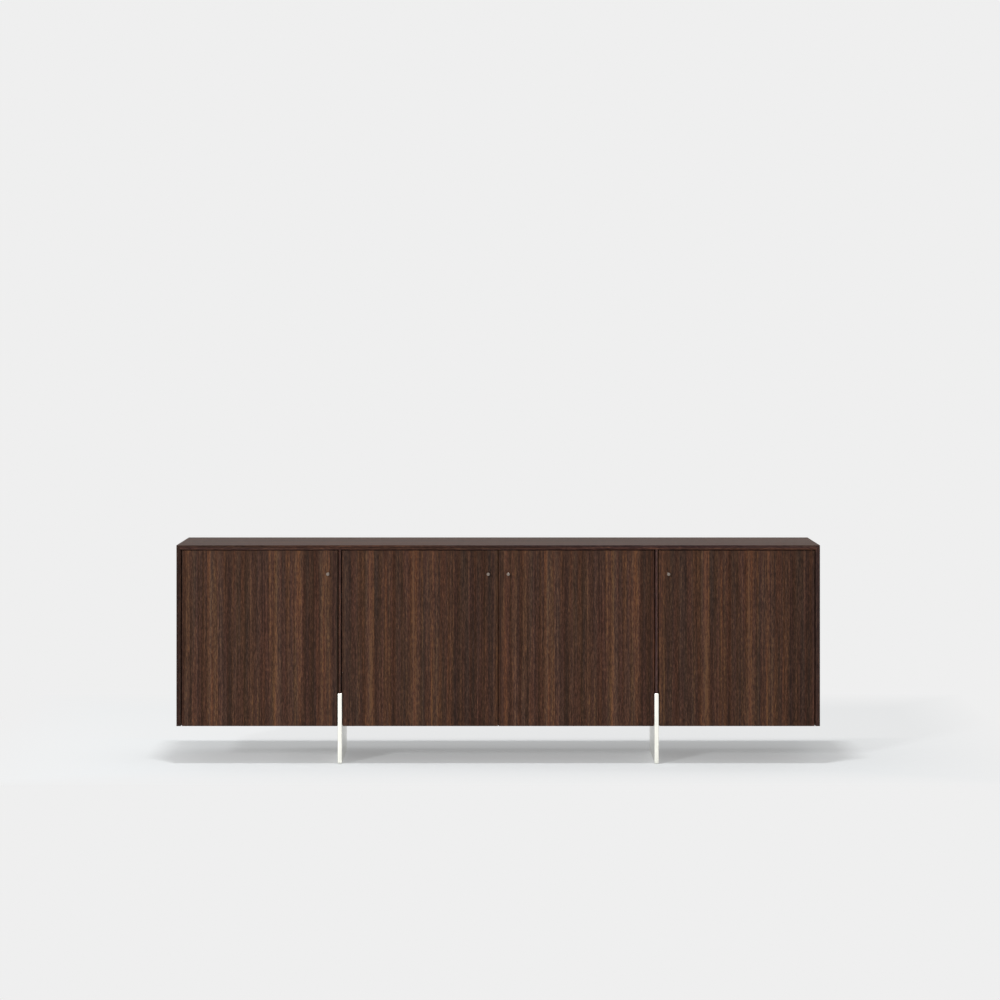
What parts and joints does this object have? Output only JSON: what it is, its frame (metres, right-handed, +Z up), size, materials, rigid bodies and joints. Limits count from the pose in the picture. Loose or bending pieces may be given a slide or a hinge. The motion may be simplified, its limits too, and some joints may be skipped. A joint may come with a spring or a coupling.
{
  "type": "sideboard on plate legs",
  "caption": "Long low office sideboard in dark veneer with flush hinged doors, small round knobs and plate legs whose uprights show between the doors",
  "frame": {"origin": "on the floor, under the centre of the bounding box", "axes": "+X along the width to the viewer's right, -Y out of the doors, +Z up"},
  "size_m": [2.2, 0.468, 0.748],
  "materials": {
    "door_veneer": "dark straight-grained veneer, satin lacquer, vertical grain",
    "carcass_veneer": "the same veneer with grain along each panel",
    "inner_board": "matching veneered board inside and behind",
    "beech": "plain beech",
    "leg_metal": "satin bright metal plate",
    "knob_metal": "satin bronze-grey metal",
    "hardware_steel": "nickel-plated steel",
    "flange_steel": "black powder coat",
    "glide_nylon": "natural nylon",
    "catch_plastic": "dark brown moulded plastic",
    "bumper_rubber": "soft translucent grey silicone"
  },
  "bodies": {
    "carcass": {"back_panel": "inner_board", "bottom_panel": "inner_board", "carcass_dowels": "beech", "catch_screws": "hardware_steel", "centre_left_door_hinge_arms": "hardware_steel", "centre_right_door_hinge_arms": "hardware_steel", "centre_shelf": "inner_board", "floor_glides": "glide_nylon", "hinge_arm_screws": "hardware_steel", "hinge_plate_screws": "hardware_steel", "hinge_plates": "hardware_steel", "left_divider": "carcass_veneer", "left_door_hinge_arms": "hardware_steel", "left_leg_blade": "leg_metal", "left_shelf": "inner_board", "left_side_panel": "carcass_veneer", "leg_bolts": "hardware_steel", "leg_flanges": "flange_steel", "leg_screws": "hardware_steel", "magnetic_catches": "catch_plastic", "mitre_splines": "beech", "right_divider": "carcass_veneer", "right_door_hinge_arms": "hardware_steel", "right_leg_blade": "leg_metal", "right_shelf": "inner_board", "right_side_panel": "carcass_veneer", "shelf_pins": "hardware_steel", "top_panel": "carcass_veneer"},
    "left_door": {"left_door": "door_veneer", "left_door_bumpers": "bumper_rubber", "left_door_cup_screws": "hardware_steel", "left_door_hinge_cups": "hardware_steel", "left_door_hinge_pins": "hardware_steel", "left_door_knob": "knob_metal", "left_door_knob_screw": "hardware_steel", "left_door_strike": "hardware_steel"},
    "centre_left_door": {"centre_left_door": "door_veneer", "centre_left_door_bumpers": "bumper_rubber", "centre_left_door_cup_screws": "hardware_steel", "centre_left_door_hinge_cups": "hardware_steel", "centre_left_door_hinge_pins": "hardware_steel", "centre_left_door_knob": "knob_metal", "centre_left_door_knob_screw": "hardware_steel", "centre_left_door_strike": "hardware_steel"},
    "centre_right_door": {"centre_right_door": "door_veneer", "centre_right_door_bumpers": "bumper_rubber", "centre_right_door_cup_screws": "hardware_steel", "centre_right_door_hinge_cups": "hardware_steel", "centre_right_door_hinge_pins": "hardware_steel", "centre_right_door_knob": "knob_metal", "centre_right_door_knob_screw": "hardware_steel", "centre_right_door_strike": "hardware_steel"},
    "right_door": {"right_door": "door_veneer", "right_door_bumpers": "bumper_rubber", "right_door_cup_screws": "hardware_steel", "right_door_hinge_cups": "hardware_steel", "right_door_hinge_pins": "hardware_steel", "right_door_knob": "knob_metal", "right_door_knob_screw": "hardware_steel", "right_door_strike": "hardware_steel"}
  },
  "joints": [
    {"name": "left_door_swing", "type": "hinge", "parent": "carcass", "child": "left_door", "pos_m": [-1.06153, -0.208, 0.287], "axis": [0, 0, -1], "range_deg": [0, 95]},
    {"name": "centre_left_door_swing", "type": "hinge", "parent": "carcass", "child": "centre_left_door", "pos_m": [-0.5139, -0.208, 0.287], "axis": [0, 0, -1], "range_deg": [0, 95]},
    {"name": "centre_right_door_swing", "type": "hinge", "parent": "carcass", "child": "centre_right_door", "pos_m": [0.5139, -0.208, 0.287], "axis": [0, 0, 1], "range_deg": [0, 95]},
    {"name": "right_door_swing", "type": "hinge", "parent": "carcass", "child": "right_door", "pos_m": [1.06153, -0.208, 0.287], "axis": [0, 0, 1], "range_deg": [0, 95]}
  ]
}
